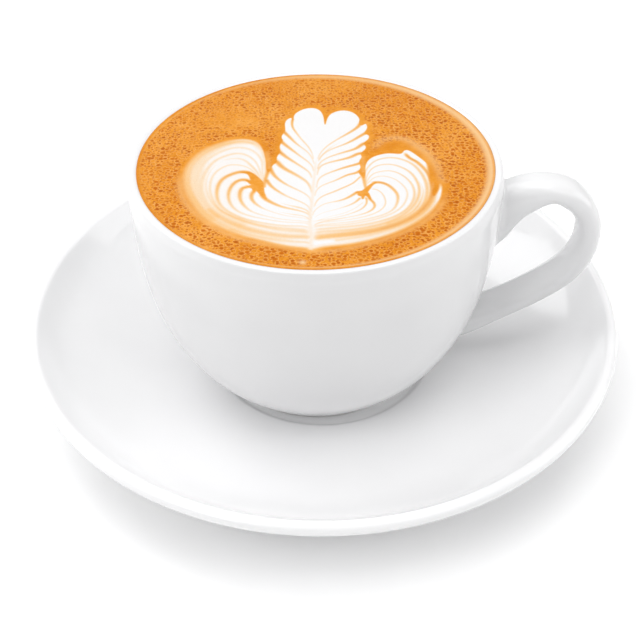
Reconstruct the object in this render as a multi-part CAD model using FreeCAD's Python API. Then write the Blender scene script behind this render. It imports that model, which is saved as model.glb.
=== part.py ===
import FreeCAD, Part
import math
import os
from FreeCAD import Vector

os.makedirs("parts", exist_ok=True)

# A large latte: round-bellied porcelain cup with one handle, standing in the
# well of its saucer and filled to the lip. Millimetres, +Z up. The saucer's
# axis is the Z axis and its foot ring stands on Z = 0.

# ---- driving dimensions ------------------------------------------------------
SAUCER_R = 81.7          # outermost radius of the saucer lip
SAUCER_RIM_Z = 22.7      # height of the outermost circle
SAUCER_LIP = 1.75        # radius of the rounded lip
WELL_R = 31.2            # edge of the shallow well the cup stands in
WELL_Z = 4.5             # floor of the well
WELL_STEP = 1.0          # depth of the well below the dish
SAUCER_FOOT_R = 49.2     # outside of the saucer's foot ring
SAUCER_FOOT_W = 3.4      # width of that ring
SAUCER_RECESS_Z = 1.6    # underside inside the ring

CUP_X = -1.45            # the cup stands this far off the saucer's axis
CUP_R = 48.0             # outermost radius, just under the lip
LIP_TOP_Z = 70.5         # top of the cup's lip
LIP_TOP_R = 46.5         # radius of the crest of the lip
LIP_IN_R = 1.9           # rounding on the drinking side of the lip
CUP_FOOT_R = 27.2        # outside of the cup's foot ring
CUP_FOOT_H = 2.6         # height of the foot ring
CUP_FOOT_IN_R = 23.2     # inside of the foot ring
CUP_RECESS_Z = 6.4       # underside of the bowl inside the ring
BOWL_FLOOR_Z = 11.0      # lowest point inside the bowl
WALL_TOP = 3.4           # wall of the bowl near the lip
WALL_LOW = 4.6           # wall of the bowl low down

# outside of the bowl: (height, radius) from foot to lip
BOWL = [(7.9, 29.4), (10.6, 32.3), (14.1, 35.3), (18.0, 38.0), (22.1, 40.2),
        (26.6, 42.3), (31.6, 44.1), (42.4, 46.5), (54.3, 47.6), (67.3, 48.0)]

LEVEL_Z = 70.1           # surface of the drink

HANDLE_W = 10.6          # across the handle
HANDLE_T = 6.5           # through the handle
# stations of the handle from the upper joint to the lower one, measured from
# the cup's axis: outer edge (x, z), inner edge (x, z), breadth
UPPER_ROOT = [((44.9, 61.3), (44.6, 41.6), 10.2),
              ((49.6, 62.9), (50.2, 46.0), 10.4),
              ((53.2, 64.1), (53.3, 51.6), 10.6),
              ((56.9, 64.6), (57.1, 55.4), 10.6)]
ARM = [(61.0, 61.0), (65.2, 59.9), (69.1, 56.9), (71.9, 52.2), (72.7, 46.6),
       (71.8, 40.8), (69.1, 35.7), (64.7, 31.3), (56.7, 25.7)]
LOWER_ROOT = [((50.1, 17.9), (46.6, 24.0), 10.8),
              ((42.8, 13.5), (38.6, 21.0), 11.2),
              ((29.4, 9.3), (27.0, 17.6), 12.4)]


def line(a, b):
    return Part.LineSegment(Vector(*a), Vector(*b)).toShape()


def spline(pts, t0=None, t1=None):
    c = Part.BSplineCurve()
    vs = [Vector(*p) for p in pts]
    if t0 is None:
        c.interpolate(vs)
    else:
        c.interpolate(Points=vs, InitialTangent=Vector(*t0), FinalTangent=Vector(*t1))
    return c.toShape()


def arc(a, m, b):
    return Part.Arc(Vector(*a), Vector(*m), Vector(*b)).toShape()


def revolve(edges):
    wire = Part.Wire(edges)
    face = Part.Face(wire)
    return face.revolve(Vector(0, 0, 0), Vector(0, 0, 1), 360)


def rz(r, z):
    return (r, 0.0, z)


def smooth(a, b, t):
    return a + (b - a) * t


# ---- saucer ------------------------------------------------------------------
def saucer():
    lip_r = SAUCER_R - SAUCER_LIP
    tz = SAUCER_RIM_Z
    # the lip is a rounded bead leaning with the wall of the dish
    lean = math.radians(46)
    top_in = rz(lip_r - SAUCER_LIP * math.cos(lean) * 1.0, tz + SAUCER_LIP * math.sin(lean))
    crown = rz(lip_r + SAUCER_LIP * math.cos(math.radians(35)), tz + SAUCER_LIP * math.sin(math.radians(35)))
    low = rz(lip_r + SAUCER_LIP * math.cos(lean), tz - SAUCER_LIP * math.sin(lean))
    dish_z = WELL_Z + WELL_STEP
    upper = [rz(WELL_R, dish_z), rz(38.0, dish_z + 0.35), rz(46.0, dish_z + 1.25),
             rz(54.0, dish_z + 2.95), rz(61.5, dish_z + 5.55), rz(68.0, dish_z + 9.0),
             rz(73.6, dish_z + 13.0), top_in]
    under = [low, rz(75.3, 14.9), rz(69.6, 10.7), rz(62.6, 6.9), rz(55.4, 4.2),
             rz(SAUCER_FOOT_R, 2.7)]
    fo = SAUCER_FOOT_R
    fi = SAUCER_FOOT_R - SAUCER_FOOT_W
    e = [line(rz(0, SAUCER_RECESS_Z), rz(0, WELL_Z)),
         line(rz(0, WELL_Z), rz(WELL_R - 2.2, WELL_Z)),
         # soft step out of the well
         spline([rz(WELL_R - 2.2, WELL_Z), rz(WELL_R - 0.9, WELL_Z + WELL_STEP * 0.45),
                 rz(WELL_R, dish_z)], (1, 0, 0.02), (1, 0, 0.04)),
         spline(upper, (1, 0, 0.04), (math.sin(lean), 0, math.cos(lean))),
         arc(top_in, crown, low),
         spline(under, (-math.sin(lean), 0, -math.cos(lean)), (-1, 0, -0.16)),
         arc(rz(fo, 2.7), rz(fo - 0.55, 1.2), rz(fo - 0.7, 0.6)),
         arc(rz(fo - 0.7, 0.6), rz(fo - 0.9, 0.18), rz(fo - 1.3, 0.0)),
         line(rz(fo - 1.3, 0.0), rz(fi + 0.8, 0.0)),
         arc(rz(fi + 0.8, 0.0), rz(fi + 0.3, 0.2), rz(fi, 0.7)),
         line(rz(fi, 0.7), rz(fi - 0.9, SAUCER_RECESS_Z + 0.2)),
         line(rz(fi - 0.9, SAUCER_RECESS_Z + 0.2), rz(fi - 1.9, SAUCER_RECESS_Z)),
         line(rz(fi - 1.9, SAUCER_RECESS_Z), rz(0, SAUCER_RECESS_Z))]
    return revolve(e)


# ---- cup ---------------------------------------------------------------------
def cavity_points():
    """(radius, height) of the inside of the bowl, from floor to lip."""
    pts = []
    n = len(BOWL)
    for i, (z, r) in enumerate(BOWL[2:-1]):
        t = (z - BOWL[2][0]) / (BOWL[-1][0] - BOWL[2][0])
        wall = smooth(WALL_LOW, WALL_TOP, t)
        pts.append((r - wall, z + 2.6 * (1.0 - t)))
    return pts


def cavity_edges(top):
    """Inside profile from the axis at the floor up to the drinking side of the lip."""
    pts = cavity_points()
    lo = [rz(0, BOWL_FLOOR_Z), rz(14.0, BOWL_FLOOR_Z + 0.55), rz(23.0, BOWL_FLOOR_Z + 2.2)]
    seat = rz(LIP_TOP_R - LIP_IN_R, LIP_TOP_Z - LIP_IN_R)
    e = [spline(lo + [rz(r, z) for r, z in pts] + [seat], (1, 0, 0), (0.02, 0, 1))]
    c = (LIP_TOP_R, LIP_TOP_Z - LIP_IN_R)
    if top >= LIP_TOP_Z:
        end = rz(LIP_TOP_R, LIP_TOP_Z)
        a = math.radians(135)
    else:
        h = top - c[1]
        end = rz(c[0] - math.sqrt(LIP_IN_R ** 2 - h ** 2), top)
        a = (math.pi + math.pi - math.asin(h / LIP_IN_R)) / 2
    mid = rz(c[0] + LIP_IN_R * math.cos(a), c[1] + LIP_IN_R * math.sin(a))
    e.append(arc(seat, mid, end))
    return e, end


def bowl_outside():
    foot_top = WELL_Z + CUP_FOOT_H
    pts = [rz(r, z) for z, r in BOWL]
    e = [line(rz(0, CUP_RECESS_Z), rz(CUP_FOOT_IN_R - 1.6, CUP_RECESS_Z)),
         arc(rz(CUP_FOOT_IN_R - 1.6, CUP_RECESS_Z), rz(CUP_FOOT_IN_R - 0.35, CUP_RECESS_Z - 0.45),
             rz(CUP_FOOT_IN_R, CUP_RECESS_Z - 1.2)),
         arc(rz(CUP_FOOT_IN_R, CUP_RECESS_Z - 1.2), rz(CUP_FOOT_IN_R + 0.25, WELL_Z + 0.2),
             rz(CUP_FOOT_IN_R + 0.8, WELL_Z)),
         line(rz(CUP_FOOT_IN_R + 0.8, WELL_Z), rz(CUP_FOOT_R - 0.9, WELL_Z)),
         arc(rz(CUP_FOOT_R - 0.9, WELL_Z), rz(CUP_FOOT_R - 0.25, WELL_Z + 0.25),
             rz(CUP_FOOT_R, WELL_Z + 0.9)),
         spline([rz(CUP_FOOT_R, WELL_Z + 0.9), rz(CUP_FOOT_R + 0.35, WELL_Z + 2.2), pts[0]],
                (0.05, 0, 1), (0.95, 0, 1)),
         spline(pts, (0.95, 0, 1), (0, 0, 1)),
         # outer side of the lip rolls over to the crest
         spline([pts[-1], rz(CUP_R - 0.16, LIP_TOP_Z - 2.05), rz(CUP_R - 0.62, LIP_TOP_Z - 0.72),
                 rz(LIP_TOP_R, LIP_TOP_Z)], (0, 0, 1), (-1, 0, 0))]
    return e


def section(outer, inner, breadth):
    """Closed oval across the handle between an outer and an inner edge point."""
    o = Vector(outer[0], 0, outer[1])
    i = Vector(inner[0], 0, inner[1])
    mid = (o + i) * 0.5
    half = (o - i) * 0.5
    side = Vector(0, breadth / 2.0, 0)
    pts = []
    m = 20
    p = 2.0 / 2.35                      # a little fuller than an ellipse
    for k in range(m):
        a = 2 * math.pi * k / m
        ca, sa = math.cos(a), math.sin(a)
        u = math.copysign(abs(ca) ** p, ca)
        v = math.copysign(abs(sa) ** p, sa)
        pts.append(mid + half * u + side * v)
    c = Part.BSplineCurve()
    c.interpolate(Points=pts, PeriodicFlag=True)
    return Part.Wire([c.toShape()])


def handle():
    wires = [section(*s) for s in UPPER_ROOT]
    n = len(ARM)
    for k, (x, z) in enumerate(ARM):
        a = ARM[max(0, k - 1)]
        b = ARM[min(n - 1, k + 1)]
        d = Vector(b[0] - a[0], 0, b[1] - a[1])
        if k == 0:
            d = Vector(1.0, 0, 0.02)
        d.normalize()
        nrm = Vector(-d.z, 0, d.x) * (HANDLE_T / 2.0)     # outward, left of travel
        wires.append(section((x + nrm.x, z + nrm.z), (x - nrm.x, z - nrm.z), HANDLE_W))
    wires += [section(*s) for s in LOWER_ROOT]
    return Part.makeLoft(wires, True, False)


def cup():
    inner, crest = cavity_edges(LIP_TOP_Z)
    outside = bowl_outside()
    axis = line(rz(0, BOWL_FLOOR_Z), rz(0, CUP_RECESS_Z))
    bowl = revolve(outside + [e for e in reversed(inner)] + [axis])
    e, end = cavity_edges(LIP_TOP_Z)
    room = revolve(e + [line(end, rz(LIP_TOP_R, LIP_TOP_Z + 5)), line(rz(LIP_TOP_R, LIP_TOP_Z + 5), rz(0, LIP_TOP_Z + 5)),
                        line(rz(0, LIP_TOP_Z + 5), rz(0, BOWL_FLOOR_Z))])
    grip = handle().cut(room)
    grip = max(grip.Solids, key=lambda s: s.Volume)
    body = bowl.fuse(grip)
    return max(body.Solids, key=lambda s: s.Volume)


# ---- drink -------------------------------------------------------------------
def latte():
    e, end = cavity_edges(LEVEL_Z)
    return revolve(e + [line(end, rz(0, LEVEL_Z)), line(rz(0, LEVEL_Z), rz(0, BOWL_FLOOR_Z))])


s = saucer()
c = cup()
d = latte()
c.translate(Vector(CUP_X, 0, 0))
d.translate(Vector(CUP_X, 0, 0))

for name, shape in (("saucer", s), ("cup", c), ("latte", d)):
    if shape.ShapeType != "Solid":
        shape = shape.Solids[0]
    print(name, shape.ShapeType, shape.isValid(), len(shape.Faces), round(shape.Volume / 1000.0, 2), "cm3", shape.BoundBox)
    shape.exportStep("parts/%s.step" % name)
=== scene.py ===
import bpy, math
import numpy as np
from mathutils import Vector, Matrix


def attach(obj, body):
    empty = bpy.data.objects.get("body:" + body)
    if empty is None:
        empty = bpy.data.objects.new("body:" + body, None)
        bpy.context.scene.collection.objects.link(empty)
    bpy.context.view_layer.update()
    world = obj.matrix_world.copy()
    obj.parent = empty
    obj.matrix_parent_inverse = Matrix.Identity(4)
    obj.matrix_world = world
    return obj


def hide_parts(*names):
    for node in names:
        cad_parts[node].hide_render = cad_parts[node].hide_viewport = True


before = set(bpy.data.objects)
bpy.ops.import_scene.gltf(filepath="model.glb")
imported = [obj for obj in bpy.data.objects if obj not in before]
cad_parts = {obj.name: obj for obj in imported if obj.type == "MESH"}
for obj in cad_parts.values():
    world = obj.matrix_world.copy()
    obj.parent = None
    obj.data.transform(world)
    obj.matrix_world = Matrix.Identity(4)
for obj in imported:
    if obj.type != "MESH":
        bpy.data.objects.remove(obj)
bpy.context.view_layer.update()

MM = 0.001
CUP_X = -1.45            # the cup stands a little off the saucer's axis
LEVEL = 70.1             # height of the drink's surface
WELL_Z = 4.5

# ------------------------------------------------------------------ helpers --
def new_object(name, verts, faces, smooth=True):
    me = bpy.data.meshes.new(name)
    v = np.asarray(verts, np.float64) * MM
    me.vertices.add(len(v))
    me.vertices.foreach_set("co", v.astype(np.float32).ravel())
    faces = [np.asarray(f, np.int32) for f in faces if len(f)]
    sizes = np.concatenate([np.full(len(f), f.shape[1], np.int32) for f in faces])
    flat = np.concatenate([f.ravel() for f in faces])
    me.loops.add(len(flat))
    me.loops.foreach_set("vertex_index", flat)
    starts = np.concatenate([[0], np.cumsum(sizes)[:-1]]).astype(np.int32)
    me.polygons.add(len(sizes))
    me.polygons.foreach_set("loop_start", starts)
    me.polygons.foreach_set("use_smooth", np.full(len(sizes), smooth))
    me.update(calc_edges=True)
    me.validate()
    ob = bpy.data.objects.new(name, me)
    bpy.context.scene.collection.objects.link(ob)
    return ob


def spline(pts, n, closed=False):
    """Smooth curve through points (natural cubic over chord length), n samples."""
    p = np.asarray(pts, float)
    if closed:
        k = min(4, len(p))
        p = np.vstack([p[-k:], p, p[:k + 1]])
    t = np.concatenate([[0], np.cumsum(np.maximum(np.linalg.norm(np.diff(p, axis=0), axis=1), 1e-9) ** 0.75)])
    m = len(p)
    h = np.diff(t)
    A = np.eye(m)
    R = np.zeros_like(p)
    for i in range(1, m - 1):
        A[i, i - 1], A[i, i], A[i, i + 1] = h[i - 1], 2 * (h[i - 1] + h[i]), h[i]
        R[i] = 6 * ((p[i + 1] - p[i]) / h[i] - (p[i] - p[i - 1]) / h[i - 1])
    M = np.linalg.solve(A, R)
    a, b = (t[k], t[-(k + 1)]) if closed else (t[0], t[-1])
    u = np.linspace(a, b, n, endpoint=not closed)
    i = np.clip(np.searchsorted(t, u, side="right") - 1, 0, m - 2)
    d0 = (u - t[i])[:, None]
    d1 = (t[i + 1] - u)[:, None]
    hh = h[i][:, None]
    return (M[i] * d1 ** 3 + M[i + 1] * d0 ** 3) / (6 * hh) + (p[i] / hh - M[i] * hh / 6) * d1 + (p[i + 1] / hh - M[i + 1] * hh / 6) * d0


def arc3(a, m, b, n):
    """Circular arc through three points (r, z)."""
    ax, ay = a; bx, by = m; cx, cy = b
    d = 2 * (ax * (by - cy) + bx * (cy - ay) + cx * (ay - by))
    ux = ((ax**2 + ay**2) * (by - cy) + (bx**2 + by**2) * (cy - ay) + (cx**2 + cy**2) * (ay - by)) / d
    uy = ((ax**2 + ay**2) * (cx - bx) + (bx**2 + by**2) * (ax - cx) + (cx**2 + cy**2) * (bx - ax)) / d
    r = math.hypot(ax - ux, ay - uy)
    t0 = math.atan2(ay - uy, ax - ux); t1 = math.atan2(by - uy, bx - ux); t2 = math.atan2(cy - uy, cx - ux)
    def unwrap(t, ref):
        while t - ref > math.pi: t -= 2 * math.pi
        while t - ref < -math.pi: t += 2 * math.pi
        return t
    t1 = unwrap(t1, t0); t2 = unwrap(t2, t1)
    t = np.linspace(t0, t2, n)
    return np.c_[ux + r * np.cos(t), uy + r * np.sin(t)]


def join(*parts):
    out = [np.asarray(parts[0], float)]
    for p in parts[1:]:
        p = np.asarray(p, float)
        if np.linalg.norm(out[-1][-1] - p[0]) < 1e-6:
            p = p[1:]
        out.append(p)
    return np.vstack(out)


def seg(a, b, n):
    return np.linspace(a, b, n)


def lathe(profile, n, x=0.0):
    """Closed solid of revolution; the profile starts and ends on the axis."""
    prof = np.asarray(profile, float)
    inner = prof[1:-1]
    th = np.linspace(0, 2 * np.pi, n, endpoint=False)
    c, s = np.cos(th), np.sin(th)
    k = len(inner)
    v = np.empty((k, n, 3))
    v[:, :, 0] = x + inner[:, :1] * c
    v[:, :, 1] = inner[:, :1] * s
    v[:, :, 2] = inner[:, 1:2]
    verts = np.vstack([v.reshape(-1, 3), [[x, 0, prof[0, 1]], [x, 0, prof[-1, 1]]]])
    i = np.arange(k - 1)[:, None] * n
    j = np.arange(n)[None, :]
    j2 = (j + 1) % n
    quads = np.stack([i + j, i + j2, i + n + j2, i + n + j], -1).reshape(-1, 4)
    a0, a1 = k * n, k * n + 1
    jj = np.arange(n); jn = (jj + 1) % n
    cap0 = np.stack([np.full(n, a0), jn, jj], -1)
    cap1 = np.stack([np.full(n, a1), (k - 1) * n + jj, (k - 1) * n + jn], -1)
    return verts, quads, np.vstack([cap0, cap1])


# ------------------------------------------------------------------- saucer --
SAUCER_R, RIM_Z, LIP = 81.68, 22.7, 1.75
WELL_R, WELL_STEP = 31.2, 1.0

def saucer_profile():
    """From the axis underneath, out round the lip and back over the dish."""
    lr = SAUCER_R - LIP
    lean = math.radians(46)
    top_in = (lr - LIP * math.cos(lean), RIM_Z + LIP * math.sin(lean))
    low = (lr + LIP * math.cos(lean), RIM_Z - LIP * math.sin(lean))
    crown = (lr + LIP * math.cos(math.radians(35)), RIM_Z + LIP * math.sin(math.radians(35)))
    dz = WELL_Z + WELL_STEP
    fo, fi = 49.2, 45.8
    under = spline([(fo, 2.7), (55.4, 4.2), (62.6, 6.9), (69.6, 10.7), (75.3, 14.9), low], 46)
    upper = spline([top_in, (73.6, dz + 13.0), (68.0, dz + 9.0), (61.5, dz + 5.55), (54.0, dz + 2.95),
                    (46.0, dz + 1.25), (38.0, dz + 0.35), (WELL_R + 0.6, dz + 0.02)], 64)
    step = spline([(WELL_R + 0.6, dz + 0.02), (WELL_R, dz - 0.06), (WELL_R - 0.7, dz - 0.42), (WELL_R - 1.5, WELL_Z + 0.13), (WELL_R - 2.6, WELL_Z)], 14)
    return join(seg((0, 1.6), (fi - 3.0, 1.6), 8), spline([(fi - 3.0, 1.6), (fi - 1.3, 1.72), (fi - 0.5, 1.4), (fi, 0.7), (fi + 0.3, 0.2), (fi + 0.9, 0.0)], 14),
                seg((fi + 0.9, 0.0), (fo - 1.3, 0.0), 4),
                spline([(fo - 1.3, 0.0), (fo - 0.85, 0.2), (fo - 0.68, 0.7), (fo - 0.5, 1.5), (fo, 2.4), (fo + 0.6, 2.82)], 14),
                under[3:], arc3(low, crown, top_in, 22), upper, step, seg((WELL_R - 2.6, WELL_Z), (0, WELL_Z), 12))


v, q, t = lathe(saucer_profile(), 288)
saucer = new_object("saucer_ware", v, [q, t])

# ---------------------------------------------------------------------- cup --
CUP_R, LIP_TOP, LIP_TOP_R, LIP_IN = 48.0, 70.49, 46.5, 1.9
BOWL = [(7.9, 29.4), (10.6, 32.3), (14.1, 35.3), (18.0, 38.0), (22.1, 40.2),
        (26.6, 42.3), (31.6, 44.1), (42.4, 46.5), (54.3, 47.6), (67.3, 47.99)]
FOOT_R, FOOT_IN = 27.2, 23.2

bowl_out = spline([(r, z) for z, r in BOWL], 90)


def cup_profile():
    foot = spline([(FOOT_R - 0.9, WELL_Z), (FOOT_R - 0.22, WELL_Z + 0.25), (FOOT_R, WELL_Z + 0.9), (FOOT_R + 0.35, WELL_Z + 2.2), (29.4, 7.9)], 18)
    foot = foot[foot[:, 1] >= WELL_Z - 1e-9]
    lip_out = spline([(47.99, 67.3), (CUP_R - 0.16, LIP_TOP - 2.05), (CUP_R - 0.62, LIP_TOP - 0.72), (LIP_TOP_R + 0.55, LIP_TOP - 0.1), (LIP_TOP_R, LIP_TOP)], 18)
    seat = (LIP_TOP_R - LIP_IN, LIP_TOP - LIP_IN)
    a = math.radians(135)
    lip_in = arc3((LIP_TOP_R, LIP_TOP), (LIP_TOP_R + LIP_IN * math.cos(a), LIP_TOP - LIP_IN + LIP_IN * math.sin(a)), seat, 14)
    wall = []
    for z, r in BOWL[2:-1]:
        k = (z - BOWL[2][0]) / (BOWL[-1][0] - BOWL[2][0])
        wall.append((r - (4.6 + (3.4 - 4.6) * k), z + 2.6 * (1 - k)))
    inner = spline([seat] + wall[::-1] + [(23.0, 13.2), (14.0, 11.55), (0.0, 11.0)], 60)
    return join(seg((0, 6.4), (FOOT_IN - 1.6, 6.4), 6), arc3((FOOT_IN - 1.6, 6.4), (FOOT_IN - 0.35, 5.95), (FOOT_IN, 5.2), 6),
                spline([(FOOT_IN, 5.2), (FOOT_IN + 0.25, 4.7), (FOOT_IN + 0.8, WELL_Z)], 5),
                seg((FOOT_IN + 0.8, WELL_Z), (FOOT_R - 0.9, WELL_Z), 3), foot, bowl_out, lip_out, lip_in, inner)


HANDLE_W, HANDLE_T = 10.6, 6.5
UPPER_ROOT = [((44.9, 61.3), (44.6, 41.6), 10.2),
              ((49.6, 62.9), (50.2, 46.0), 10.4),
              ((53.2, 64.1), (53.3, 51.6), 10.6),
              ((56.9, 64.6), (57.1, 55.4), 10.6)]
ARM = [(61.0, 61.0), (65.2, 59.9), (69.1, 56.9), (71.9, 52.2), (72.7, 46.6),
       (71.8, 40.8), (69.1, 35.7), (64.7, 31.3), (56.7, 25.7)]
LOWER_ROOT = [((50.1, 17.9), (46.6, 24.0), 10.8),
              ((42.8, 13.5), (38.6, 21.0), 11.2),
              ((29.4, 9.3), (27.0, 17.6), 12.4)]


def handle_stations():
    st = [(*o, *i, b) for o, i, b in UPPER_ROOT]
    n = len(ARM)
    for k, (x, z) in enumerate(ARM):
        a, b = ARM[max(0, k - 1)], ARM[min(n - 1, k + 1)]
        d = np.array([1.0, 0.02]) if k == 0 else np.array([b[0] - a[0], b[1] - a[1]])
        d = d / np.linalg.norm(d)
        nx, nz = -d[1] * HANDLE_T / 2, d[0] * HANDLE_T / 2
        st.append((x + nx, z + nz, x - nx, z - nz, HANDLE_W))
    st += [(*o, *i, b) for o, i, b in LOWER_ROOT]
    return np.array(st)


def handle_mesh(n=190, m=56, fillet=2.4):
    s = spline(handle_stations(), n)
    # a rounded cross-section swept along the stations
    th = np.linspace(0, 2 * np.pi, m, endpoint=False)
    p = 2 / 2.35
    u = np.sign(np.cos(th)) * np.abs(np.cos(th)) ** p
    w = np.sign(np.sin(th)) * np.abs(np.sin(th)) ** p
    o, i, b = s[:, 0:2], s[:, 2:4], s[:, 4]
    mid, half = (o + i) / 2, (o - i) / 2
    v = np.zeros((n, m, 3))
    v[:, :, 0] = mid[:, :1] + half[:, :1] * u
    v[:, :, 2] = mid[:, 1:] + half[:, 1:] * u
    v[:, :, 1] = (b / 2)[:, None] * w
    # trumpet out where it meets the bowl, as a poured clay joint does
    r = np.hypot(v[:, :, 0], v[:, :, 1])
    R = np.interp(v[:, :, 2], bowl_out[:, 1], bowl_out[:, 0])
    slope = np.interp(v[:, :, 2], bowl_out[:, 1], np.gradient(bowl_out[:, 0], bowl_out[:, 1]))
    g = (r - R) / np.sqrt(1 + slope ** 2)
    gg = np.clip(g, 0, fillet)
    off = fillet - np.sqrt(np.maximum(fillet ** 2 - (fillet - gg) ** 2, 0))
    cen = np.stack([mid[:, 0], np.zeros(n), mid[:, 1]], -1)[:, None, :]
    d = v - cen
    d /= np.maximum(np.linalg.norm(d, axis=2, keepdims=True), 1e-6)
    v = v + d * off[:, :, None]
    v[:, :, 0] += CUP_X
    base = np.arange(n - 1)[:, None] * m
    j = np.arange(m)[None, :]
    j2 = (j + 1) % m
    quads = np.stack([base + j, base + m + j, base + m + j2, base + j2], -1).reshape(-1, 4)
    verts = v.reshape(-1, 3)
    c0, c1 = len(verts), len(verts) + 1
    verts = np.vstack([verts, v[0].mean(0), v[-1].mean(0)])
    jj = np.arange(m); jn = (jj + 1) % m
    caps = np.vstack([np.stack([np.full(m, c0), jj, jn], -1), np.stack([np.full(m, c1), (n - 1) * m + jn, (n - 1) * m + jj], -1)])
    return verts, quads, caps


v1, q1, t1 = lathe(cup_profile(), 288, CUP_X)
v2, q2, t2 = handle_mesh()
k = len(v1)
cup = new_object("cup_ware", np.vstack([v1, v2]), [q1, q2 + k, np.vstack([t1, t2 + k])])

# -------------------------------------------------------------------- drink --
# ---- the poured pattern ---------------------------------------------------
# Every stroke is a few guide points in tenths of a millimetre from the cup's
# axis (x towards the handle, y away from the viewer), joined by a smooth curve.
MILK_EDGE = [
    # left wing, from the foot of the stem up round its outside
    (-16, -375), (-60, -366), (-120, -344), (-176, -318), (-232, -280), (-275, -232), (-299, -186),
    (-317, -140), (-327, -92), (-328, -40), (-316, 8), (-290, 52), (-254, 84), (-220, 102), (-188, 108),
    (-158, 96), (-141, 70), (-131, 30), (-126, -12), (-124, -40), (-119, -52), (-115, -44),
    # up the tips of the left-hand leaves
    (-112, -30), (-108, -18), (-101, -8), (-100, 8), (-98, 24), (-92, 42), (-93, 62), (-91, 82), (-86, 98),
    (-89, 112), (-87, 128), (-81, 146), (-81, 168), (-81, 190), (-74, 208), (-65, 214), (-60, 204),
    # the crown: two lobes and the cleft between them
    (-58, 222), (-50, 243), (-34, 259), (-10, 267), (8, 259), (18, 240), (22, 222), (24, 196),
    (26, 178), (29, 192), (38, 226), (52, 243), (77, 252), (98, 244), (114, 222), (119, 200), (117, 184),
    # down the tips of the right-hand leaves
    (121, 172), (128, 175), (134, 180), (138, 168), (134, 146), (130, 129), (137, 124), (141, 116), (136, 98), (126, 80),
    (130, 66), (127, 50), (116, 30), (118, 16), (112, -2), (112, -22), (113, -36), (108, -50), (109, -62), (115, -76),
    # the neck, then over the right wing
    (119, -84), (123, -68), (124, -40), (129, -12), (140, 8), (158, 22), (186, 31), (207, 29), (220, 30),
    (227, 42), (235, 46), (247, 37), (264, 12), (280, -16), (289, -50), (292, -88), (290, -124),
    (284, -150), (286, -164), (295, -150), (302, -126), (306, -106), (310, -116), (309, -138), (303, -168),
    (289, -204), (266, -242), (232, -278), (184, -314), (118, -346), (60, -362), (8, -372), (-8, -377)]

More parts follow.
